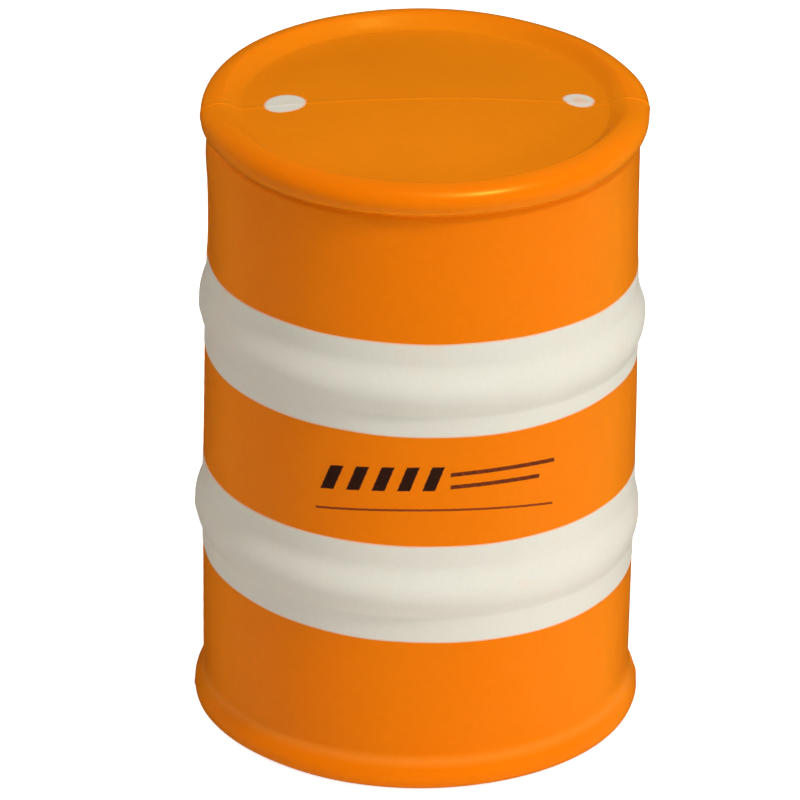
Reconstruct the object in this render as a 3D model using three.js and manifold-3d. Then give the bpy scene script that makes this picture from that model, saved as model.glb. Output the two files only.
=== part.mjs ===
// Foam stress reliever in the shape of a traffic drum.
//
// A squeezable hand toy: one body of soft polyurethane foam inside an orange skin that forms in the
// two halves of a mould, with two white painted bands over the rolling hoops, two white painted bung
// marks on the lid and a small dark print on the front. Millimetres, +Z up. The origin is the centre
// of the foot ring, in the plane the drum stands on. +X runs along the mould's parting plane, and the
// print faces -Y.

import * as THREE from "three";
import { mergeVertices } from "three/addons/utils/BufferGeometryUtils.js";
import Module from "manifold-3d";

const wasm = await Module();
wasm.setup();

// ---- Driving dimensions ------------------------------------------------------------------------

const WALL_R = 27.1; // radius of the plain wall at half height
const HEIGHT = 83.2; // foot ring to the crest of the top rim
const TAPER = 0.16; // how much the wall narrows from half height to the top, and widens to the foot
const BARREL = 0.44; // how much both ends of the wall are drawn in as well
const SEGMENTS = 48; // facets round every turned piece

const BEAD_PROUD = 1.2; // how far the rolled rims at both ends stand out from the wall
const TOP_RISE = 2.15; // from the top rim's widest circle up to its crest
const CREST_R = 25; // radius of the circle that is the top rim's crest
const TOP_BEAD_DROP = 2; // from the top rim's widest circle down to the plain wall
const FOOT_RISE = 1.3; // from the foot ring up to the foot rim's widest circle
const FOOT_BEAD_RISE = 3.7; // from the foot rim's widest circle up to the plain wall

const GROOVE_R = 23.4; // lowest circle of the lid, just inside the rim
const GROOVE_DEPTH = 1.7; // from the crest of the rim down to that circle
const LID_CROWN = 1.2; // how far the middle of the lid stands above that circle
const FOOT_OUTER_R = 26.3; // outer edge of the flat foot ring
const FOOT_INNER_R = 24.5; // inner edge of the flat foot ring
const BASE_PANEL_R = 23.3; // flat panel inside the foot ring
const BASE_RECESS = 0.9; // how far that panel is set back from the foot ring

const HOOP_HEIGHTS = [27.1, 54.9]; // crests of the two rolling hoops
const HOOP_PROUD = 0.85;
const HOOP_HALF_WIDTH = 4;

const SKIN = 1; // thickness of the dense skin round the soft core
const GAP = 0.03; // clearance that keeps neighbouring layers from sharing a face
const PAINT = 0.1; // thickness of the white paint films
const INK = 0.08; // thickness of the printed films
const FLASH_HALF = 0.15; // half the thickness of the flash between the two skin halves
const GATE_R = 3.2; // radius of the hole in the base that the foam was poured through

const UPPER_BAND = { low: 49.1, high: 61.7 }; // heights of the painted bands' edges
const LOWER_BAND = { low: 20.6, high: 34 };

const LARGE_BUNG = { x: -17.3, y: 0.5, r: 2.6 };
const SMALL_BUNG = { x: 19.3, y: 0.8, r: 2 };

// The print is laid out flat and carried to the wall by a soft pad that comes down at a slant, so its
// level lines dip towards their ends as the wall curves away.
const PAD_SLOPE = 0.33; // drop per millimetre that the wall falls back from the pad
const BAR_COUNT = 5; // slanted bars at the left of the print
const BAR_WIDTH = 1.6;
const BAR_PITCH = 3.1;
const BAR_SLANT = 1.2; // how far a bar's top stands to the right of its foot
const BAR_LEFT = -13.7; // x of the first bar's foot
const BAR_LOW = 41.9;
const BAR_HEIGHT = 3.3;
// climb is how much higher a line's right end lies than its left end.
const LINES = {
  print_line_upper: { left: 2.2, right: 15.3, low: 43.8, climb: 1.2, thick: 0.55 },
  print_line_lower: { left: 2.2, right: 13.4, low: 42.1, climb: 0.9, thick: 0.55 },
  print_rule: { left: -14.2, right: 15.2, low: 39.1, climb: 0, thick: 0.3 },
};

const COLOURS = {
  skin: { color: 0xee7a0c, roughness: 0.62 },
  core: { color: 0xf6b25c, roughness: 0.95 },
  flash: { color: 0xf58a24, roughness: 0.7 },
  paint: { color: 0xe9e4d8, roughness: 0.6 },
  ink: { color: 0x3a1508, roughness: 0.55 },
};

// ---- Profiles ----------------------------------------------------------------------------------
// A profile is a list of [r, z] points from the middle of the lid, over the rim and down the wall.

// Points of an ellipse round (r, z), from angle a to angle b in degrees from the +r direction.
function arc(r, z, halfWidth, halfHeight, a, b, steps) {
  const points = [];
  for (let i = 0; i <= steps; i++) {
    const t = THREE.MathUtils.degToRad(a + ((b - a) * i) / steps);
    points.push([r + halfWidth * Math.cos(t), z + halfHeight * Math.sin(t)]);
  }
  return points;
}

// The points between two ends of a smooth ramp that leaves and arrives level in r.
function ramp([r0, z0], [r1, z1], steps) {
  const points = [];
  for (let i = 1; i < steps; i++) {
    const t = i / steps;
    const ease = (1 - Math.cos(Math.PI * t)) / 2;
    points.push([r0 + (r1 - r0) * ease, z0 + (z1 - z0) * t]);
  }
  return points;
}

// Radius of the plain wall at a height.
function wallRadius(z) {
  const s = (2 * z) / HEIGHT - 1;
  return WALL_R - TAPER * s - BARREL * s * s;
}

// A rolling hoop, from its upper edge down to its lower edge.
function hoop(middle, steps) {
  const points = [];
  for (let i = 0; i <= steps; i++) {
    const t = -1 + (2 * i) / steps;
    const z = middle - HOOP_HALF_WIDTH * t;
    const swell = (HOOP_PROUD * (1 + Math.cos(Math.PI * t))) / 2;
    points.push([wallRadius(z) + swell, z]);
  }
  return points;
}

// The crowned lid, from its middle out to the groove inside the rim.
function lidProfile() {
  return [0, 0.4, 0.75, 1].map((s) => [
    GROOVE_R * s,
    HEIGHT - GROOVE_DEPTH + LID_CROWN * (1 - s * s),
  ]);
}

// The underside of the top rim, from below its widest circle down to the crease where the wall starts.
function rimUnderside(rimMiddle) {
  return [30, 60, 90].map((degrees) => {
    const t = THREE.MathUtils.degToRad(degrees);
    const z = rimMiddle - TOP_BEAD_DROP * Math.sin(t);
    return [wallRadius(z) + BEAD_PROUD * Math.cos(t) ** 2, z];
  });
}

// The drum's outer section, ending at the edge of the gate in the base.
function outerProfile() {
  const rimMiddle = HEIGHT - TOP_RISE;
  const rimR = wallRadius(rimMiddle) + BEAD_PROUD;
  const footR = wallRadius(FOOT_RISE) + BEAD_PROUD;
  const footTop = FOOT_RISE + FOOT_BEAD_RISE;
  const footStart = [wallRadius(footTop), footTop];
  const halfStep = [(GROOVE_R + CREST_R) / 2, HEIGHT - GROOVE_DEPTH / 2];
  return [
    ...lidProfile(),
    halfStep,
    ...arc(CREST_R, rimMiddle, rimR - CREST_R, TOP_RISE, 90, 0, 4),
    ...rimUnderside(rimMiddle),
    ...hoop(HOOP_HEIGHTS[1], 6),
    ...hoop(HOOP_HEIGHTS[0], 6),
    footStart,
    ...ramp(footStart, [footR, FOOT_RISE], 4),
    ...arc(FOOT_OUTER_R, FOOT_RISE, footR - FOOT_OUTER_R, FOOT_RISE, 0, -90, 3),
    [FOOT_INNER_R, 0],
    [BASE_PANEL_R, BASE_RECESS],
    [GATE_R, BASE_RECESS],
  ];
}

// A profile moved along its own normals: outwards, or inwards for a negative distance.
function offset(profile, distance) {
  return profile.map(([r, z], i) => {
    const [r0, z0] = profile[Math.max(i - 1, 0)];
    const [r1, z1] = profile[Math.min(i + 1, profile.length - 1)];
    const length = Math.hypot(r1 - r0, z1 - z0);
    if (r === 0) return [0, z + distance];
    return [r - ((z1 - z0) / length) * distance, z + ((r1 - r0) / length) * distance];
  });
}

// ---- Solids ------------------------------------------------------------------------------------

// A closed three.js geometry as a manifold-3d solid.
function solid(geometry) {
  const bare = geometry.clone();
  bare.deleteAttribute("normal");
  bare.deleteAttribute("uv");
  const merged = mergeVertices(bare, 1e-4);
  return new wasm.Manifold(
    new wasm.Mesh({
      numProp: 3,
      vertProperties: merged.attributes.position.array,
      triVerts: new Uint32Array(merged.index.array),
    }),
  );
}

// A manifold-3d solid as a three.js geometry.
function geometryOf(body) {
  const mesh = body.getMesh();
  const geometry = new THREE.BufferGeometry();
  geometry.setAttribute("position", new THREE.BufferAttribute(mesh.vertProperties, 3));
  geometry.setIndex(new THREE.BufferAttribute(mesh.triVerts, 1));
  geometry.computeVertexNormals();
  return geometry;
}

// A profile that ends on the axis, or closes on itself, turned round the Z axis.
function turned(profile) {
  const points = profile.toReversed().map(([r, z]) => new THREE.Vector2(r, z));
  return new THREE.LatheGeometry(points, SEGMENTS).rotateX(Math.PI / 2);
}

// A turned shell between two profiles of the same stretch of the drum.
function turnedShell(over, under) {
  const back = under.toReversed();
  const closed = over[0][0] === 0 ? [...over, ...back] : [...over, ...back, over[0]];
  return turned(closed);
}

// An outline of [x, z] points, standing upright and reaching from y = near to y = far.
function upright(outline, near, far) {
  const shape = new THREE.Shape(outline.map(([x, z]) => new THREE.Vector2(x, z)));
  const slab = new THREE.ExtrudeGeometry(shape, { depth: far - near, bevelEnabled: false });
  return slab.rotateX(Math.PI / 2).translate(0, far, 0);
}

function verticalCylinder(r, length, x, y, z) {
  return new THREE.CylinderGeometry(r, r, length, SEGMENTS).rotateX(Math.PI / 2).translate(x, y, z);
}

// ---- Pieces ------------------------------------------------------------------------------------

const outer = outerProfile();

// The soft foam inside the skin, with the stub that fills the gate and is cut off level with the base.
function foamCore() {
  const body = offset(outer, -SKIN - GAP).slice(0, -1);
  const stub = GATE_R - GAP;
  const shoulder = [stub, body.at(-1)[1]];
  return turned([...body, shoulder, [stub, BASE_RECESS], [0, BASE_RECESS]]);
}

// One half of the skin: side is -1 for the front and 1 for the rear.
function skinHalf(side) {
  const shell = solid(turnedShell(outer, offset(outer, -SKIN)));
  const reach = WALL_R * 3;
  const middle = side * (reach / 2 + FLASH_HALF + GAP);
  const space = new THREE.BoxGeometry(reach, reach, HEIGHT * 3).translate(0, middle, 0);
  return geometryOf(shell.intersect(solid(space)));
}

// The flash: a thin web of foam that filled the gap between the two skin halves, trimmed level.
function partingFlash() {
  const mirrored = outer.toReversed().map(([r, z]) => [-r, z]);
  const plate = solid(upright([...outer, ...mirrored.slice(0, -1)], -FLASH_HALF, FLASH_HALF));
  const inside = offset(outer, -SKIN - GAP / 2).slice(0, -1);
  const hollow = solid(turned([...inside, [0, inside.at(-1)[1]]]));
  const gate = solid(verticalCylinder(GATE_R, SKIN * 4, 0, 0, BASE_RECESS));
  return geometryOf(plate.subtract(hollow).subtract(gate));
}

// A paint film over the wall and its hoop, between two heights.
function paintedBand({ low, high }) {
  const film = (distance) => {
    const swell = offset(outer, distance).filter(([, z]) => z > low && z < high);
    return [[wallRadius(high) + distance, high], ...swell, [wallRadius(low) + distance, low]];
  };
  return turnedShell(film(GAP + PAINT), film(GAP));
}

// A round paint mark that follows the crowned lid.
function bungMark({ x, y, r }) {
  const lid = lidProfile();
  const film = solid(turnedShell(offset(lid, GAP + PAINT), offset(lid, GAP)));
  return geometryOf(film.intersect(solid(verticalCylinder(r, HEIGHT, x, y, HEIGHT))));
}

// An ink film on the front wall inside an outline of [x, z] points.
function printed(outline) {
  const top = HOOP_HEIGHTS[1];
  const foot = HOOP_HEIGHTS[0];
  const ring = (r) => [[r, top], [r, foot]];
  const sleeve = solid(turnedShell(ring(WALL_R + GAP + INK), ring(WALL_R + GAP)));
  const slant = new THREE.Matrix4().makeShear(0, 0, 0, -PAD_SLOPE, 0, 0);
  const prism = upright(outline, -WALL_R * 2, 0).applyMatrix4(slant);
  return geometryOf(sleeve.intersect(solid(prism.translate(0, 0, -PAD_SLOPE * WALL_R))));
}

function printedBar(i) {
  const x = BAR_LEFT + i * BAR_PITCH;
  const top = BAR_LOW + BAR_HEIGHT;
  return printed([
    [x, BAR_LOW],
    [x + BAR_WIDTH, BAR_LOW],
    [x + BAR_WIDTH + BAR_SLANT, top],
    [x + BAR_SLANT, top],
  ]);
}

function printedLine({ left, right, low, climb, thick }) {
  const end = low + climb;
  return printed([[left, low], [right, end], [right, end + thick], [left, low + thick]]);
}

// ---- Assembly ----------------------------------------------------------------------------------

const materials = {};
for (const [name, { color, roughness }] of Object.entries(COLOURS)) {
  materials[name] = new THREE.MeshStandardMaterial({ name, color, roughness, metalness: 0 });
}

const drum = new THREE.Group();

function add(name, geometry, material) {
  const mesh = new THREE.Mesh(geometry, materials[material]);
  mesh.name = name;
  drum.add(mesh);
}

add("foam_core", foamCore(), "core");
add("front_skin", skinHalf(-1), "skin");
add("rear_skin", skinHalf(1), "skin");
add("parting_flash", partingFlash(), "flash");
add("upper_white_band", paintedBand(UPPER_BAND), "paint");
add("lower_white_band", paintedBand(LOWER_BAND), "paint");
add("large_bung_mark", bungMark(LARGE_BUNG), "paint");
add("small_bung_mark", bungMark(SMALL_BUNG), "paint");
for (let i = 0; i < BAR_COUNT; i++) add(`print_bar_${i + 1}`, printedBar(i), "ink");
for (const [name, line] of Object.entries(LINES)) add(name, printedLine(line), "ink");

export default drum;
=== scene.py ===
"""The looks of a foam stress reliever in the shape of a traffic drum, built round its CAD frame.

Every length is in metres in the CAD frame: +Z up from the foot ring, +X along the mould's parting
plane and -Y out of the printed front.
"""

import math

import bmesh
import bpy
import numpy as np
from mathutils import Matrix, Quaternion, Vector


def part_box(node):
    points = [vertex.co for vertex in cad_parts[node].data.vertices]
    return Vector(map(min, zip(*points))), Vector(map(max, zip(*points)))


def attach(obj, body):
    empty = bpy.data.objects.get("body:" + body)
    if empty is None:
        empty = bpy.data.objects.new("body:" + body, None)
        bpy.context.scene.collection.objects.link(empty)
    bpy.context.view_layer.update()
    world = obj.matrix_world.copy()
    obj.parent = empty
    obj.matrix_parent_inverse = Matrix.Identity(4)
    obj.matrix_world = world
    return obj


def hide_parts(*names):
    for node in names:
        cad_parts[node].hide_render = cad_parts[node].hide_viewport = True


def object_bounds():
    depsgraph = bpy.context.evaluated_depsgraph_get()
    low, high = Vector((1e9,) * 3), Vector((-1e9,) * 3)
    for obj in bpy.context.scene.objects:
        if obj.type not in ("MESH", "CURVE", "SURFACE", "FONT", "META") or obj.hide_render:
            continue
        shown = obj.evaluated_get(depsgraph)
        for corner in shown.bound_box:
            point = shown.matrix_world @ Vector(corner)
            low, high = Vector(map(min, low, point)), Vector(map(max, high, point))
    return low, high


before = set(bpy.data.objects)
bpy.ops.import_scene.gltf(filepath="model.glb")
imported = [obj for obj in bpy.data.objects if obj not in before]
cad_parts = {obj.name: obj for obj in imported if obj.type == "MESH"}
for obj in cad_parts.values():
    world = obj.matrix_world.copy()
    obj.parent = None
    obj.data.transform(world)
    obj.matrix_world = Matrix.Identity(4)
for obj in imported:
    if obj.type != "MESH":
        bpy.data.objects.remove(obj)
cad_low, cad_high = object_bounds()

# ---- Sizes ---------------------------------------------------------------------------------------

MM = 0.001
BODY = "root"
SEED = 20

HEIGHT = cad_high.z
TAPER = 0.16 * MM  # how much the wall narrows from half height to the top, and widens to the foot
BARREL = 0.44 * MM  # how much both ends of the wall are drawn in as well
BEAD_PROUD = 1.2 * MM  # how far the rolled rims stand out from the wall
TOP_RISE = 2.15 * MM  # from the top rim's widest circle up to its crest
CREASE_DEPTH = 0.15 * MM  # of the fine crease where the wall meets the top rim's underside
CREASE_HALF = 0.42 * MM
TOP_BEAD_REACH = 4 * MM  # below the top rim's widest circle, where the wall is plain all round
FOOT_RISE = 1.3 * MM  # from the foot ring up to the foot rim's widest circle
FOOT_SHOULDER = 3.9 * MM  # up to where the foot rim runs out into the wall
FOOT_HIGHLIGHT_HALF = 0.9 * MM  # half the width of the painted highlight line there
FOOT_SHARE = 2 * FOOT_RISE / HEIGHT - 1
WALL_R = cad_high.x - BEAD_PROUD + TAPER * FOOT_SHARE + BARREL * FOOT_SHARE**2

CREST_R = WALL_R - 2.1 * MM  # the circle that is the top rim's crest
GROOVE_R = WALL_R - 4.2 * MM  # lowest circle of the lid, just inside the rim
GROOVE_DEPTH = 1.7 * MM
LID_CROWN = 1.2 * MM
FOOT_OUTER_R = WALL_R - 0.8 * MM
FOOT_INNER_R = FOOT_OUTER_R - 1.8 * MM
BASE_PANEL_R = FOOT_INNER_R - 1.2 * MM
BASE_RECESS = 0.9 * MM
GATE_R = 3.2 * MM

# Sizes that change round the drum: at -X, at the front and back, and at +X.
RIM_DROP = (2.4 * MM, 1.78 * MM, 2.25 * MM)  # top rim's widest circle down to the crease under it
FOOT_CLIMB = (3.05 * MM, 3.7 * MM, 4.35 * MM)  # foot rim's widest circle up to the plain wall
FOOT_SPREAD = (0.4 * MM, 0, 0.4 * MM)  # how much wider the foot's bottom edge is
WALL_SPREAD = (-0.06 * MM, 0, 0.12 * MM)
HOOP_CRESTS = (  # for each rolling hoop, the height of its crest
    (27.2 * MM, 27.3 * MM, 26.5 * MM),
    (55.3 * MM, 55.2 * MM, 53.9 * MM),
)
HOOP_SWELLS = (  # and how proud it is there
    (0.95 * MM, 1.05 * MM, 0.62 * MM),
    (0.8 * MM, 1.05 * MM, 0.85 * MM),
)
HOOP_UPPER_HALF = 4.1 * MM  # from a hoop's crest up to the plain wall
HOOP_LOWER_HALF = 3.2 * MM  # and down to the crease under it
HOOP_TURN = 1.25  # above 1, the hoop runs softly into that crease
UNDERSIDE_TURN = 1.8  # above 1, the top rim's underside tucks in sooner

SKIN = 1 * MM
CLEARANCE = 0.03 * MM  # between the skin and the foam inside it
FLASH_HALF = 0.15 * MM  # half the thickness of the web between the two halves of the skin
RIDGE_PROUD = 0.05 * MM  # how far the trimmed web stands above the skin
SEAM_SWELL = 0.04 * MM  # the skin's own rise towards the parting plane
SEAM_SWELL_REACH = 0.55 * MM
RIM_DIP = 0.8 * MM  # how much lower the rim's crest is where the mould parts
RIM_DIP_REACH = 7 * MM
PAINT = 0.055 * MM  # thickness of the paint
INK = 0.03 * MM  # and of the ink
INK_DENSITIES = {"print_bar": 1.0, "print_line": 0.55, "print_rule": 0.15}  # by kind of mark
BEDDED = 0.02 * MM  # how far a film's back lies under the surface it is stuck to
UPPER_BAND_EDGES = ((-0.33 * MM, -0.4 * MM), (-0.2 * MM, -0.1 * MM))  # (tilt, waist) of each edge
LOWER_BAND_EDGES = ((-0.18 * MM, -0.18 * MM), (-0.6 * MM, 0))
PAD_SLOPE = 0.33  # drop of the print's level lines as the wall falls back from the printing pad

# Soft swellings and hollows of this moulding: the place, how wide it is and how proud.
LUMPS = (
    ((27.3 * MM, 5 * MM, 80.5 * MM), 5 * MM, 0.3 * MM),
    ((-27 * MM, -2 * MM, 76.6 * MM), 4 * MM, 0.55 * MM),
    ((-27 * MM, -2 * MM, 65 * MM), 5 * MM, -0.2 * MM),
    ((-27 * MM, -7 * MM, 3 * MM), 5 * MM, 0.15 * MM),
)


# ---- The drum's section --------------------------------------------------------------------------


def ease(t):
    """0 to 1, leaving and arriving level."""
    return (1 - np.cos(np.pi * t)) / 2


def steps(count):
    """count values from just above 0 up to 1."""
    return np.arange(1, count + 1) / count


def lid_height(r):
    return HEIGHT - GROOVE_DEPTH + LID_CROWN * (1 - (r / GROOVE_R) ** 2)


def wall_radius(z):
    share = 2 * z / HEIGHT - 1
    return WALL_R - TAPER * share - BARREL * share**2


def round_drum(stations, side):
    """A size at side, the cosine of the angle round the drum, from its values at -1, 0 and 1."""
    left, front, right = stations
    return front + side * (right - left) / 2 + side**2 * ((left + right) / 2 - front)


def wall_swell(z, side):
    """How far the wall and its rolling hoops stand out from the plain wall at a height.

    A hoop has a soft shoulder above its crest and a tighter turn below it.
    """
    swell = round_drum(WALL_SPREAD, side) + 0 * z
    for crests, swells in zip(HOOP_CRESTS, HOOP_SWELLS):
        crest = round_drum(crests, side)
        above = np.clip((z - crest) / HOOP_UPPER_HALF, 0, 1)
        below = np.clip((crest - z) / HOOP_LOWER_HALF, 0, 1)
        shape = (1 + np.cos(np.pi * above)) / 2 * (1 - below**2) ** HOOP_TURN
        swell = swell + round_drum(swells, side) * shape
    return swell


def drum_section(side):
    """The outer section as rows of (r, z), from the middle of the lid to the gate in the base.

    side is the cosine of the angle round the drum: 1 at +X, 0 at the front and back and -1 at -X.
    """
    rim_z = HEIGHT - TOP_RISE
    crease = rim_z - round_drum(RIM_DROP, side)
    spread = round_drum(WALL_SPREAD, side)
    foot_outer = FOOT_OUTER_R + round_drum(FOOT_SPREAD, side)
    lid_r = GROOVE_R * np.linspace(0, 1, 48)
    inner = steps(16)
    inner_rise = (inner + ease(inner)) / 2
    quarter = steps(20) * np.pi / 2
    under_z = rim_z + (crease - rim_z) * np.sin(quarter)
    reach_z = crease + (rim_z - TOP_BEAD_REACH - crease) * steps(16)
    creased = CREASE_DEPTH * np.exp(-(((reach_z - crease) / CREASE_HALF) ** 2))
    creased_under = CREASE_DEPTH * np.exp(-(((under_z - crease) / CREASE_HALF) ** 2))
    tucked = BEAD_PROUD * np.cos(quarter) ** UNDERSIDE_TURN
    wall_z = np.linspace(rim_z - TOP_BEAD_REACH, FOOT_RISE, 260)[1:]
    foot_share = 1 - (wall_z - FOOT_RISE) / round_drum(FOOT_CLIMB, side)
    foot_swell = BEAD_PROUD * ease(np.clip(foot_share, 0, 1))
    recess = steps(10)
    panel = steps(30)
    rim_r = wall_radius(rim_z) + spread + BEAD_PROUD
    foot_r = wall_radius(FOOT_RISE) + spread + BEAD_PROUD
    groove_z = HEIGHT - GROOVE_DEPTH
    runs = [
        (lid_r, lid_height(lid_r)),
        (GROOVE_R + (CREST_R - GROOVE_R) * inner, groove_z + GROOVE_DEPTH * inner_rise),
        (CREST_R + (rim_r - CREST_R) * np.sin(quarter), rim_z + TOP_RISE * np.cos(quarter)),
        (wall_radius(under_z) + spread + tucked - creased_under, under_z),
        (wall_radius(reach_z) + spread - creased, reach_z),
        (wall_radius(wall_z) + wall_swell(wall_z, side) + foot_swell, wall_z),
        (foot_outer + (foot_r - foot_outer) * np.cos(quarter), FOOT_RISE * (1 - np.sin(quarter))),
        (foot_outer + (FOOT_INNER_R - foot_outer) * recess, 0 * recess),
        (FOOT_INNER_R + (BASE_PANEL_R - FOOT_INNER_R) * recess, BASE_RECESS * ease(recess)),
        (BASE_PANEL_R + (GATE_R - BASE_PANEL_R) * panel, BASE_RECESS + 0 * panel),
    ]
    return np.array([np.concatenate(part) for part in zip(*runs)]).T


def section_normals(section):
    """Unit outward normals of a section, as rows of (nr, nz)."""
    along = np.gradient(section, axis=0)
    normals = np.stack([-along[:, 1], along[:, 0]], axis=1)
    return normals / np.linalg.norm(normals, axis=1, keepdims=True)


def drum_sections(angles):
    """The outer section at each of some angles, as rows of profile points and columns of angles."""
    return np.stack([drum_section(side) for side in np.cos(angles)], axis=1)


SECTION = drum_section(0)
NORMALS = section_normals(SECTION)


# ---- Surface of the moulded foam -----------------------------------------------------------------

rng = np.random.default_rng(SEED)
WAVES = 16
wave_directions = rng.normal(size=(WAVES, 3))
wave_directions /= np.linalg.norm(wave_directions, axis=1, keepdims=True)
wave_lengths = rng.uniform(11 * MM, 42 * MM, WAVES)
wave_phases = rng.uniform(0, 2 * np.pi, WAVES)
WAVE_HEIGHT = 0.011 * MM


def unevenness(points):
    """Slow waves in the moulded surface, as a height for each point."""
    turns = points @ (wave_directions.T * 2 * np.pi / wave_lengths) + wave_phases
    return WAVE_HEIGHT * np.sin(turns).sum(axis=-1)


def lumpiness(points):
    """The soft swellings and hollows, as a height for each point."""
    height = 0
    for place, reach, proud in LUMPS:
        distance = np.linalg.norm(points - place, axis=-1)
        height = height + proud * np.exp(-((distance / reach) ** 2))
    return height


def seam_lift(points, ridge):
    """Rise towards the parting plane, with the trimmed ridge itself where it is asked for."""
    x, y, z = np.moveaxis(points, -1, 0)
    lift = SEAM_SWELL * np.exp(-((y / SEAM_SWELL_REACH) ** 2))
    if ridge:
        crown = np.sqrt(np.clip(1 - (y / FLASH_HALF) ** 2, 0, 1))
        uneven = 1 + 0.22 * np.sin(x * 1900 + 1) + 0.16 * np.sin(x * 4300 + z * 2700)
        lift = lift + RIDGE_PROUD * crown * uneven
    return lift


def rim_dip(points):
    """How far the top rim sinks towards the two places where the mould parts."""
    x, y, z = np.moveaxis(points, -1, 0)
    out = ease(np.clip((np.hypot(x, y) - GROOVE_R) / (CREST_R - GROOVE_R), 0, 1))
    up = np.clip((z - HEIGHT + TOP_RISE) / TOP_RISE, 0, 1)
    return RIM_DIP * out * up * np.exp(-((y / RIM_DIP_REACH) ** 2))


def lifted(points, normals, height, ridge=False):
    """Points moved from the ideal surface to the real one, and out from it by a height."""
    rise = unevenness(points) + lumpiness(points) + seam_lift(points, ridge) + height
    moved = points + normals * rise[..., None]
    moved[..., 2] -= rim_dip(points)
    moved[..., 2] = np.maximum(moved[..., 2], 0)
    return moved


def turned(sections, normals, angles):
    """Points and normals of profiles turned to their angles, by rows of profile points."""
    cos, sin = np.cos(angles), np.sin(angles)
    r, z = sections[..., 0], sections[..., 1]
    points = np.stack([r * cos, r * sin, z + 0 * cos], axis=-1)
    out = np.stack([normals[:, :1] * cos, normals[:, :1] * sin, normals[:, 1:] + 0 * cos], axis=-1)
    return points, out


# ---- Mesh building -------------------------------------------------------------------------------


def grid_faces(rows, columns, start=0, wrap=False):
    """Quads of a grid of vertices numbered row by row, joined round where wrap is set."""
    last = columns if wrap else columns - 1
    faces = []
    for i in range(rows - 1):
        for j in range(last):
            k = (j + 1) % columns
            a = start + i * columns
            faces.append((a + j, a + k, a + columns + k, a + columns + j))
    return faces


def sheet_solid(outer, inner, wrap=False):
    """Vertices and faces of a closed sheet between two grids of the same shape."""
    rows, columns = outer.shape[:2]
    count = rows * columns
    verts = np.concatenate([outer.reshape(-1, 3), inner.reshape(-1, 3)])
    faces = grid_faces(rows, columns, 0, wrap) + grid_faces(rows, columns, count, wrap)
    edges = []
    last = columns if wrap else columns - 1
    for j in range(last):
        k = (j + 1) % columns
        edges.append((j, k))
        edges.append(((rows - 1) * columns + j, (rows - 1) * columns + k))
    if not wrap:
        for i in range(rows - 1):
            edges.append((i * columns, (i + 1) * columns))
            edges.append(((i + 1) * columns - 1, (i + 2) * columns - 1))
    faces += [(a, b, b + count, a + count) for a, b in edges]
    return verts, faces


def piece(name, verts, faces, material, nodes, cover=None):
    """A closed smooth mesh that rides on the drum and stands for its CAD nodes."""
    mesh = bpy.data.meshes.new(name)
    mesh.from_pydata([tuple(v) for v in verts], [], faces)
    if cover is not None:
        mesh.attributes.new("cover", "FLOAT", "POINT").data.foreach_set("value", cover)
    body = bmesh.new()
    body.from_mesh(mesh)
    bmesh.ops.remove_doubles(body, verts=body.verts, dist=1e-7)
    bmesh.ops.dissolve_degenerate(body, edges=body.edges, dist=1e-8)
    bmesh.ops.recalc_face_normals(body, faces=body.faces)
    body.to_mesh(mesh)
    body.free()
    mesh.shade_smooth()
    mesh.set_sharp_from_angle(angle=math.radians(50))
    obj = bpy.data.objects.new(name, mesh)
    bpy.context.scene.collection.objects.link(obj)
    mesh.materials.append(material)
    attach(obj, BODY)
    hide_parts(*nodes)
    return obj


# ---- Materials -----------------------------------------------------------------------------------


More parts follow.
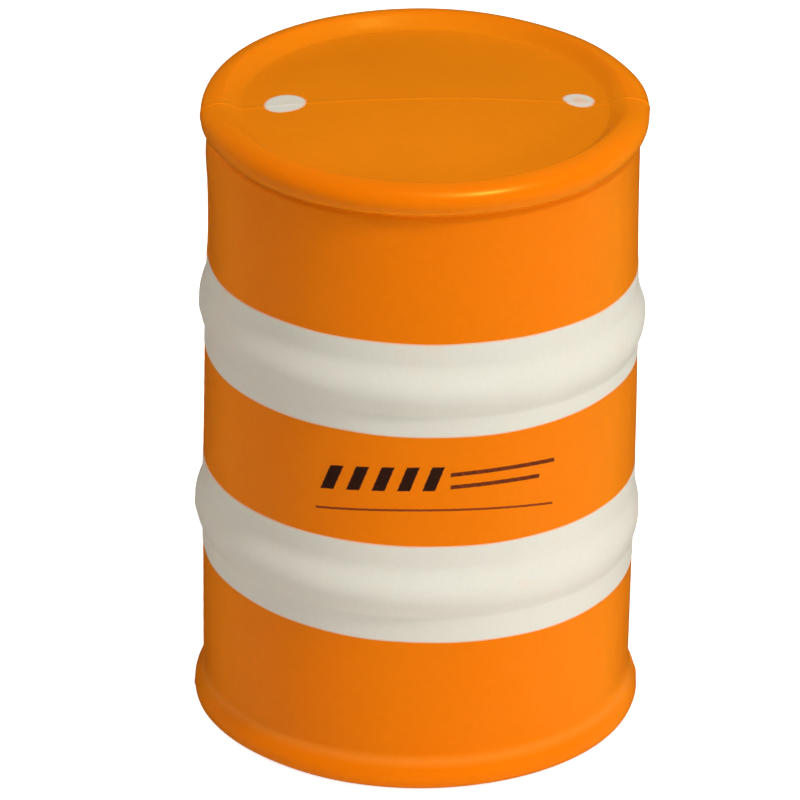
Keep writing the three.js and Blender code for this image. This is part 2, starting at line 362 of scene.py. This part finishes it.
class Shader:
    """A material's node tree, with short calls for the nodes that the finishes share."""

    def __init__(self, name):
        self.material = bpy.data.materials.new(name)
        self.material.use_nodes = True
        self.tree = self.material.node_tree
        self.surface = self.tree.nodes["Principled BSDF"]
        self.place = self.tree.nodes.new("ShaderNodeTexCoord").outputs["Object"]

    def node(self, kind, values=None, **settings):
        made = self.tree.nodes.new(kind)
        for name, value in settings.items():
            setattr(made, name, value)
        for name, value in (values or {}).items():
            self.put(made.inputs[name], value)
        return made

    def put(self, socket, value):
        if isinstance(value, bpy.types.NodeSocket):
            self.tree.links.new(value, socket)
        else:
            socket.default_value = value

    def set(self, **values):
        """Set inputs of the surface, named with _ for each space."""
        for name, value in values.items():
            self.put(self.surface.inputs[name.replace("_", " ")], value)

    def noise(self, size, detail=3.0, roughness=0.55):
        """Cloudy noise from 0 to 1 whose features are about size metres across."""
        values = {"Vector": self.place, "Scale": 1 / size, "Detail": detail, "Roughness": roughness}
        return self.node("ShaderNodeTexNoise", values).outputs["Fac"]

    def inside_rim(self):
        """1 on the lid and on the inner slope of the rim, 0 outside the rim's crest."""
        flat = self.node("ShaderNodeVectorMath", {0: self.place, 1: (1, 1, 0)}, operation="MULTIPLY")
        length = self.node("ShaderNodeVectorMath", {0: flat.outputs[0]}, operation="LENGTH")
        return self.remap(length.outputs["Value"], CREST_R - 0.8 * MM, CREST_R + 0.3 * MM, 1, 0)

    def cells(self, size, **settings):
        """A node of cells about size metres across, with each one's colour and distance."""
        values = {"Vector": self.place, "Scale": 1 / size}
        return self.node("ShaderNodeTexVoronoi", values, **settings)

    def remap(self, value, low, high, to_low, to_high):
        values = {"Value": value, "From Min": low, "From Max": high, "To Min": to_low, "To Max": to_high}
        return self.node("ShaderNodeMapRange", values).outputs["Result"]

    def math(self, operation, a, b):
        made = self.node("ShaderNodeMath", operation=operation)
        self.put(made.inputs[0], a)
        self.put(made.inputs[1], b)
        return made.outputs[0]

    def mix(self, share, a, b):
        made = self.node("ShaderNodeMix", data_type="RGBA")
        self.put(made.inputs[0], share)
        self.put(made.inputs[6], a)
        self.put(made.inputs[7], b)
        return made.outputs[2]

    def shade(self, colour, value):
        """A colour scaled by a value near 1."""
        tones = {"Color": colour, "Value": value}
        return self.node("ShaderNodeHueSaturation", tones).outputs["Color"]

    def bump(self, layers):
        """One normal from (height, depth in metres) layers, the coarsest first."""
        normal = None
        for height, depth in layers:
            values = {"Height": height, "Strength": 1.0, "Distance": depth}
            if normal is not None:
                values["Normal"] = normal
            normal = self.node("ShaderNodeBump", values).outputs["Normal"]
        self.set(Normal=normal)


ORANGE = (0.93, 0.199, 0.001, 1)
DEEP_ORANGE = (0.88, 0.16, 0.001, 1)
SLANT_SHEEN_ORANGE = (0.99, 0.258, 0.003, 1)  # painted sheen: the skin paler and yellower at a slant, standing in for its reflection
FOOT_HIGHLIGHT_ORANGE = (1.0, 0.34, 0.05, 1)  # painted highlight: a paler line along the shoulder of the foot rim
LID_SHADE_ORANGE = (0.845, 0.235, 0.004, 1)  # painted shade inside the rim, on the lid and the rim's inner slope
PALE_ORANGE = (1.0, 0.28, 0.012, 1)
FOAM_ORANGE = (0.90, 0.42, 0.10, 1)
WARM_WHITE = (0.76, 0.74, 0.645, 1)
GREY_WHITE = (0.71, 0.685, 0.59, 1)
DARK_BROWN = (0.035, 0.009, 0.003, 1)
RED_BROWN = (0.3, 0.048, 0.004, 1)
WARM_SHEEN = (1.0, 0.88, 0.1, 1)


def skin_colour(s, slant):
    """Moulded orange with slow clouds and fine mottling, and a painted sheen that turns it yellower as
    slant goes from 0 to 0.6.

    It is darker inside the rim as painted shade, and has a paler painted highlight line along the
    shoulder of the foot rim.
    """
    clouds = s.noise(17 * MM, 2)
    mottle = s.noise(1.1 * MM, 3)
    cloud_light = s.remap(clouds, 0.3, 0.7, -0.025, 0.025)
    light = s.math("ADD", cloud_light, s.remap(mottle, 0.3, 0.7, 0.985, 1.015))
    # Painted sheen: where the surface is seen at a slant, its colour turns towards a paler, yellower
    # orange.
    painted_sheen = s.math("POWER", s.remap(slant, 0, 0.6, 0, 1), 2.4)
    face = s.mix(s.remap(clouds, 0.35, 0.65, 0, 0.25), ORANGE, DEEP_ORANGE)
    outside = s.mix(painted_sheen, face, SLANT_SHEEN_ORANGE)
    height = s.node("ShaderNodeSeparateXYZ", {"Vector": s.place}).outputs["Z"]
    # Painted highlight: a paler line along the shoulder of the foot rim, where a light's reflection
    # would lie.
    off_shoulder = s.math("ABSOLUTE", s.math("SUBTRACT", height, FOOT_SHOULDER), 0)
    outside = s.mix(s.remap(off_shoulder, 0, FOOT_HIGHLIGHT_HALF, 0.32, 0), outside, FOOT_HIGHLIGHT_ORANGE)
    # Painted shade inside the rim: the lid and the rim's inner slope are mixed towards a darker orange.
    return s.shade(s.mix(s.math("MULTIPLY", s.inside_rim(), 0.9), outside, LID_SHADE_ORANGE), light)


def skin_material():
    """Self-skinned foam with a fine grain and pin-prick pores: satin, but dull inside the rim."""
    s = Shader("moulded_orange_skin")
    pores = s.cells(3.4 * MM, feature="F1")
    pick = s.node("ShaderNodeSeparateColor", {"Color": pores.outputs["Color"]}).outputs[0]
    chosen = s.math("GREATER_THAN", pick, 0.6)
    pit = s.math("MULTIPLY", s.remap(pores.outputs["Distance"], 0.02, 0.045, 1, 0), chosen)
    slant = s.node("ShaderNodeLayerWeight", {"Blend": 0.5}).outputs["Facing"]
    # The pores are darkened towards DEEP_ORANGE as painted shade in their pits.
    s.set(Base_Color=s.mix(s.math("MULTIPLY", pit, 0.35), skin_colour(s, slant), DEEP_ORANGE))
    s.set(Roughness=s.remap(s.noise(5 * MM, 3), 0.3, 0.7, 0.28, 0.34))
    polish = s.remap(s.inside_rim(), 0, 1, 0.5, 0.1)
    s.set(Specular_IOR_Level=polish, Specular_Tint=WARM_SHEEN)
    s.bump([
        (s.noise(2.6 * MM, 2), 0.018 * MM),
        (s.noise(0.35 * MM, 3), 0.006 * MM),
        (s.math("SUBTRACT", 1, pit), 0.03 * MM),
    ])
    return s.material


def flash_material():
    """The trimmed web: the same foam, cut less smooth, and painted paler with the skin's sheen colour at
    a fixed slant, as a painted highlight along the ridge.
    """
    s = Shader("trimmed_flash")
    tone = s.remap(s.noise(0.8 * MM, 3), 0.3, 0.7, 0.99, 1.05)
    # The fixed slant paints the skin's sheen over the whole ridge, as a painted highlight.
    s.set(Base_Color=s.shade(skin_colour(s, 0.55), tone), Roughness=0.5)
    s.set(Specular_IOR_Level=0.2, Specular_Tint=WARM_SHEEN)
    s.bump([(s.noise(0.25 * MM, 3), 0.01 * MM)])
    return s.material


def foam_material():
    """Open cells, seen where the foam was cut off at the gate."""
    s = Shader("open_cell_foam")
    cells = s.cells(0.38 * MM, feature="F1").outputs["Distance"]
    walls = s.remap(cells, 0.1, 0.55, 0, 1)
    s.set(Base_Color=s.mix(walls, DEEP_ORANGE, FOAM_ORANGE), Roughness=0.9, Sheen_Weight=0.15)
    s.bump([(s.noise(1.4 * MM, 2), 0.12 * MM), (walls, 0.12 * MM)])
    return s.material


def paint_material():
    """Flexible paint: matte, faintly uneven, thin enough at its edge for the skin to tint it."""
    s = Shader("warm_white_paint")
    thin = s.node("ShaderNodeAttribute", attribute_name="cover").outputs["Fac"]
    patch = s.noise(6 * MM, 3)
    colour = s.mix(s.remap(patch, 0.35, 0.7, 0, 0.3), WARM_WHITE, GREY_WHITE)
    speckle = s.remap(s.noise(0.5 * MM, 3), 0.3, 0.7, 0.985, 1.015)
    through = s.remap(s.math("ADD", thin, s.remap(patch, 0.3, 0.7, -0.12, 0.12)), 0.15, 0.95, 0.75, 0)
    s.set(Base_Color=s.mix(through, s.shade(colour, speckle), PALE_ORANGE))
    s.set(Roughness=s.remap(patch, 0.3, 0.7, 0.46, 0.56), Specular_IOR_Level=0.2)
    s.bump([(s.noise(2.2 * MM, 2), 0.012 * MM), (s.noise(0.3 * MM, 3), 0.006 * MM)])
    return s.material


def ink_material():
    """Pad-printed ink: a thin satin film that lets some orange through where it is starved."""
    s = Shader("dark_print_ink")
    cover = s.node("ShaderNodeAttribute", attribute_name="cover").outputs["Fac"]
    uneven = s.remap(s.noise(0.4 * MM, 3), 0.3, 0.7, -0.2, 0.2)
    starved = s.remap(s.math("ADD", cover, uneven), 0.2, 0.9, 1, 0)
    colour = s.mix(starved, DARK_BROWN, RED_BROWN)
    s.set(Base_Color=colour, Roughness=0.42, Specular_IOR_Level=0.25)
    s.bump([(s.noise(0.3 * MM, 3), 0.006 * MM)])
    return s.material


SKIN_FINISH = skin_material()
FLASH_FINISH = flash_material()
FOAM_FINISH = foam_material()
PAINT_FINISH = paint_material()
INK_FINISH = ink_material()

# ---- Foam, skin and flash ------------------------------------------------------------------------

HALF_TURN_STEPS = 150


def skin_half(name, node, side):
    """One half of the skin. side is 1 behind the parting plane and -1 in front of it."""
    start = np.arcsin(FLASH_HALF / np.maximum(SECTION[:, :1], FLASH_HALF))
    share = ease(np.linspace(0, 1, HALF_TURN_STEPS))
    angles = side * (start + (np.pi - 2 * start) * share)
    sections = drum_sections(angles[len(angles) // 2])
    sections[0, :, 0] = FLASH_HALF
    points, normals = turned(sections, NORMALS, angles)
    outer = lifted(points, normals, 0)
    inner = lifted(points - normals * SKIN, normals, 0)
    verts, faces = sheet_solid(outer, inner)
    return piece(name, verts, faces, SKIN_FINISH, [node])


def flash():
    """The web in the parting plane: a strip round the outline, crowned where it meets the air."""
    mirror = np.array([(-1, 1)])
    right = drum_section(1)
    left = mirror * drum_section(-1)
    outline = np.concatenate([right[::-1], left[1:]])
    outward = np.concatenate([NORMALS[::-1], (mirror * NORMALS)[1:]])
    across = FLASH_HALF * np.sin(np.linspace(-np.pi / 2, np.pi / 2, 11))
    count = len(outline)
    points = np.zeros((count, len(across), 3))
    points[:, :, 0] = outline[:, :1]
    points[:, :, 1] = across
    points[:, :, 2] = outline[:, 1:]
    normals = np.zeros_like(points)
    normals[:, :, 0] = outward[:, :1]
    normals[:, :, 2] = outward[:, 1:]
    outer = lifted(points, normals, 0, ridge=True)
    inner = lifted(points - normals * SKIN, normals, 0)
    verts, faces = sheet_solid(outer, inner)
    return piece("trimmed_parting_ridge", verts, faces, FLASH_FINISH, ["parting_flash"])


def core():
    """The soft foam, with the torn end of the pour stub showing in the base."""
    angles = np.linspace(0, 2 * np.pi, 145)[:-1]
    points, normals = turned(drum_sections(angles)[:-1], NORMALS[:-1], angles)
    body = lifted(points - normals * (SKIN + CLEARANCE), normals, 0)
    stub_r = GATE_R - CLEARANCE
    top = body[-1, :, 2].mean()
    stub = [(stub_r, top), (stub_r, BASE_RECESS + 0.12 * MM), (stub_r * 0.96, BASE_RECESS)]
    face = [(stub_r * share, BASE_RECESS) for share in np.linspace(0.9, 0, 16)]
    end = np.array(stub + face)
    torn, _ = turned(end[:, None], end, angles)
    x, y = torn[..., 0] / MM, torn[..., 1] / MM
    ragged = np.sin(3.1 * x + 1) * np.cos(2.7 * y) + np.sin(5.3 * y + 2.1 * x)
    torn[len(stub):, :, 2] -= 0.09 * MM * ragged[len(stub):]
    rings = np.concatenate([body, torn])
    faces = grid_faces(len(rings), len(angles), wrap=True)
    verts = rings.reshape(-1, 3)
    return piece("foam_core_and_gate_stub", verts, faces, FOAM_FINISH, ["foam_core"])


# ---- Paint ---------------------------------------------------------------------------------------


def angles_round_drum():
    """Angles for a full turn, close together at the two places where it crosses the parting plane."""
    start = math.asin(FLASH_HALF / WALL_R)
    share = ease(np.linspace(0, 1, HALF_TURN_STEPS))
    half = start + (np.pi - 2 * start) * share
    crossing = start * np.linspace(-1, 1, 11)[1:-1]
    return np.concatenate([half, np.pi + crossing, np.pi + half, crossing])


def edge_wander(angles, tilt, waist, phase):
    """The wander of a masked paint edge as it goes round.

    tilt is its rise towards +X, and waist is its rise at both sides and its fall at front and back.
    """
    fine = 0.04 * MM * np.sin(5 * angles + 2 * phase) + 0.02 * MM * np.sin(13 * angles + phase)
    return tilt * np.cos(angles) + waist * np.cos(2 * angles) + fine


def painted_band(name, node, top, foot, phase):
    """A band of paint. top and foot are the (tilt, waist) of its upper and lower edges."""
    low, high = (corner.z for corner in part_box(node))
    angles = angles_round_drum()
    rows = 72
    share = ease(np.linspace(0, 1, rows))[:, None]
    upper = high + edge_wander(angles, *top, phase)
    lower = low + edge_wander(angles, *foot, phase + 2)
    z = upper + (lower - upper) * share
    r = wall_radius(z) + wall_swell(z, np.cos(angles))
    slope = np.gradient(r, axis=0) / np.gradient(z, axis=0)
    length = np.sqrt(1 + slope**2)
    cos, sin = np.cos(angles), np.sin(angles)
    points = np.stack([r * cos, r * sin, z], axis=-1)
    normals = np.stack([cos / length, sin / length, -slope / length], axis=-1)
    depth = np.minimum(share, 1 - share) * (high - low)
    cover = ease(np.clip(depth / (0.35 * MM), 0, 1)) + 0 * angles
    outer = lifted(points, normals, PAINT * (0.15 + 0.85 * cover), ridge=True)
    inner = lifted(points, normals, -BEDDED)
    verts, faces = sheet_solid(outer, inner, wrap=True)
    thin = np.tile((0.35 + 0.65 * cover).ravel(), 2).astype(np.float32)
    return piece(name, verts, faces, PAINT_FINISH, [node], thin)


def bung_mark(name, node, phase, thinness):
    """A dab of paint that follows the lid and the ridge across it.

    phase sets its uneven outline, and thinness how much skin its worn middle shows.
    """
    low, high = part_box(node)
    middle, radius = (low + high) / 2, (high.x - low.x) / 2
    turn = np.linspace(0, 2 * np.pi, 121)[:-1]
    reach = radius * (1 + 0.025 * np.sin(2 * turn + phase) + 0.02 * np.sin(3 * turn + 2 * phase))
    share = np.linspace(0, 1, 44)[::-1][:, None]
    x = middle.x + reach * share * np.cos(turn)
    y = middle.y + reach * share * np.sin(turn)
    r = np.hypot(x, y)
    points = np.stack([x, y, lid_height(r)], axis=-1)
    fall = 2 * LID_CROWN / GROOVE_R**2
    normals = np.stack([fall * x, fall * y, 1 + 0 * x], axis=-1)
    normals /= np.linalg.norm(normals, axis=-1, keepdims=True)
    edge = (1 - share) * radius
    cover = ease(np.clip(edge / (0.4 * MM), 0, 1)) + 0 * x
    outer = lifted(points, normals, PAINT * (0.1 + 0.9 * cover), ridge=True)
    inner = lifted(points, normals, -BEDDED)
    verts, faces = sheet_solid(outer, inner, wrap=True)
    hollow = thinness * np.exp(-(((x - middle.x) ** 2 + (y - middle.y) ** 2) / (0.45 * radius) ** 2))
    ridge_wear = 0.5 * thinness * np.exp(-((y / (2 * FLASH_HALF)) ** 2))
    thin = np.clip(0.3 + 0.7 * cover - hollow - ridge_wear, 0, 1)
    thin = np.tile(thin.ravel(), 2).astype(np.float32)
    return piece(name, verts, faces, PAINT_FINISH, [node], thin)


# ---- Print ---------------------------------------------------------------------------------------


def flat_corners(node):
    """Corners (x, z) of a CAD film laid flat: lower left, lower right, upper left, upper right."""
    verts = [v.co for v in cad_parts[node].data.vertices]
    flat = [(v.x, v.z + PAD_SLOPE * (WALL_R + v.y)) for v in verts]
    low_left = min(flat, key=lambda c: c[0] + c[1])
    low_right = max(flat, key=lambda c: c[0] - c[1])
    high_left = min(flat, key=lambda c: c[0] - c[1])
    high_right = max(flat, key=lambda c: c[0] + c[1])
    return np.array([low_left, low_right, high_left, high_right])


def printed(name, node, density):
    """A film of ink on the front wall, with straight edges as the printing pad left them.

    density is 1 for full ink and falls as more skin shows through.
    """
    low_left, low_right, high_left, high_right = flat_corners(node)
    length, height = low_right[0] - low_left[0], high_left[1] - low_left[1]
    columns = max(12, round(length / (0.2 * MM)))
    up = ease(np.linspace(0, 1, 15))[:, None, None]
    along = ease(np.linspace(0, 1, columns))[None, :, None]
    below = low_left + (low_right - low_left) * along
    above = high_left + (high_right - high_left) * along
    x, flat = np.moveaxis(below + (above - below) * up, -1, 0)
    x = x + 0.02 * MM * np.sin(flat * 7000)
    y = -np.sqrt(WALL_R**2 - x**2)
    z = flat - PAD_SLOPE * (WALL_R + y) + 0.012 * MM * np.sin(x * 5200)
    r = wall_radius(z) + wall_swell(z, x / WALL_R)
    points = np.stack([x * r / WALL_R, y * r / WALL_R, z], axis=-1)
    normals = np.stack([x / WALL_R, y / WALL_R, 0 * x], axis=-1)
    rim = np.minimum(np.minimum(up, 1 - up) * height, np.minimum(along, 1 - along) * length)
    cover = ease(np.clip(rim[..., 0] / (0.09 * MM), 0, 1))
    outer = lifted(points, normals, INK * (0.3 + 0.7 * cover))
    inner = lifted(points, normals, -BEDDED)
    verts, faces = sheet_solid(outer, inner)
    thin = np.tile((density * (0.3 + 0.7 * cover)).ravel(), 2).astype(np.float32)
    return piece(name, verts, faces, INK_FINISH, [node], thin)


# ---- The object ----------------------------------------------------------------------------------

core()
skin_half("moulded_front_skin", "front_skin", -1)
skin_half("moulded_rear_skin", "rear_skin", 1)
flash()
painted_band("upper_painted_band", "upper_white_band", *UPPER_BAND_EDGES, 0.4)
painted_band("lower_painted_band", "lower_white_band", *LOWER_BAND_EDGES, 2.3)
bung_mark("large_bung_paint", "large_bung_mark", 1.2, 0.12)
bung_mark("small_bung_paint", "small_bung_mark", 2.6, 0.4)
for node in sorted(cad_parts):
    for kind, density in INK_DENSITIES.items():
        if node.startswith(kind):
            printed(node.replace("print", "printed"), node, density)

# ---- Floor, light and camera ---------------------------------------------------------------------

centre = (cad_low + cad_high) / 2
CAMERA_DISTANCE = 1.349
FLOOR_R = 3.0
FLOOR_SIDES = 96
FLOOR_HOLE_R = FOOT_OUTER_R  # hidden by the foot rim


def floor():
    """A pale plain floor, clear from below and open under the drum, so that the base can be seen."""
    s = Shader("pale_floor")
    grain = s.remap(s.noise(30 * MM, 2), 0.3, 0.7, 0.995, 1.005)
    s.set(Base_Color=s.shade((0.93, 0.93, 0.925, 1), grain), Roughness=0.9, Specular_IOR_Level=0.1)
    seen = s.node("ShaderNodeLightPath").outputs["Is Camera Ray"]
    s.set(Emission_Color=(1, 1, 1, 1), Emission_Strength=s.math("MULTIPLY", seen, 0.8))
    clear = s.node("ShaderNodeBsdfTransparent").outputs[0]
    below = s.node("ShaderNodeNewGeometry").outputs["Backfacing"]
    mixed = s.node("ShaderNodeMixShader")
    s.put(mixed.inputs[0], below)
    s.put(mixed.inputs[1], s.surface.outputs[0])
    s.put(mixed.inputs[2], clear)
    s.put(s.tree.nodes["Material Output"].inputs["Surface"], mixed.outputs[0])
    mesh = bpy.data.meshes.new("floor")
    turn = np.linspace(0, 2 * np.pi, FLOOR_SIDES, endpoint=False)
    ring = np.stack([np.cos(turn), np.sin(turn), 0 * turn], axis=1)
    verts = np.concatenate([FLOOR_R * ring, FLOOR_HOLE_R * ring])
    mesh.from_pydata(verts.tolist(), [], grid_faces(2, FLOOR_SIDES, wrap=True))
    mesh.materials.append(s.material)
    obj = bpy.data.objects.new("floor", mesh)
    obj.visible_glossy = False
    bpy.context.scene.collection.objects.link(obj)


def direction(azimuth, elevation):
    """Unit vector from the drum: azimuth 0 is out of the print, 90 is +X."""
    a, e = math.radians(azimuth), math.radians(elevation)
    return Vector((math.sin(a) * math.cos(e), -math.cos(a) * math.cos(e), math.sin(e)))


def softbox(name, azimuth, elevation, size, power, tint=(1, 1, 1), reach=0.7):
    """A round softbox out of the camera's sight, reach metres from the drum's middle.

    Only the key light shows in the skin as a reflection.
    """
    light = bpy.data.lights.new(name, "AREA")
    light.shape = "DISK"
    light.size = size
    light.energy = power
    light.color = tint
    obj = bpy.data.objects.new(name, light)
    way = direction(azimuth, elevation)
    obj.location = centre + way * reach
    obj.rotation_mode = "QUATERNION"
    obj.rotation_quaternion = (-way).to_track_quat("-Z", "Y")
    obj.visible_camera = False
    obj.visible_glossy = name == "key"
    bpy.context.scene.collection.objects.link(obj)


def room(strength, tint):
    """Even light from all sides, which shows in no reflection."""
    world = bpy.data.worlds.new("studio")
    world.use_nodes = True
    background = world.node_tree.nodes["Background"]
    background.inputs["Color"].default_value = tint
    background.inputs["Strength"].default_value = strength
    bpy.context.scene.world = world
    world.cycles_visibility.glossy = False


def camera():
    """A long lens from above the front, turned a little to the left and rolled by a degree."""
    azimuth, elevation, roll = -3.68, 26.71, 0.89
    aim = centre + Vector((-2.46 * MM, 0, -0.69 * MM))
    way = direction(azimuth, elevation)
    data = bpy.data.cameras.new("camera")
    data.sensor_width = 36
    data.lens = 482.7
    data.clip_start = 0.1
    data.clip_end = 20
    obj = bpy.data.objects.new("camera", data)
    obj.rotation_mode = "QUATERNION"
    turn = Quaternion(way, math.radians(roll))
    obj.rotation_quaternion = turn @ (-way).to_track_quat("-Z", "Y")
    obj.location = aim + way * CAMERA_DISTANCE
    bpy.context.scene.collection.objects.link(obj)
    bpy.context.scene.camera = obj


floor()
room(0.19, (1.0, 0.93, 0.86, 1))
softbox("key", 41, 61, 0.08, 1.7)
softbox("front_top", 16, 72, 0.25, 0.75)
softbox("right_low", 44, 10, 0.2, 1.7)
softbox("left_top", -78, 52, 0.15, 0.9)
softbox("left_low", -115, 12, 0.3, 0.34, (1.0, 0.62, 0.33))
softbox("foot_front", -8, -28, 0.03, 0.0009, reach=0.075)
softbox("foot_right", 45, -28, 0.03, 0.0014, reach=0.075)
softbox("right_edge", 108, 12, 0.3, 0.22, (1.0, 0.8, 0.55))
softbox("back", 150, 50, 0.25, 0.12)
softbox("below", 20, -60, 0.3, 0.6)
camera()
bpy.context.scene.view_settings.view_transform = "Standard"
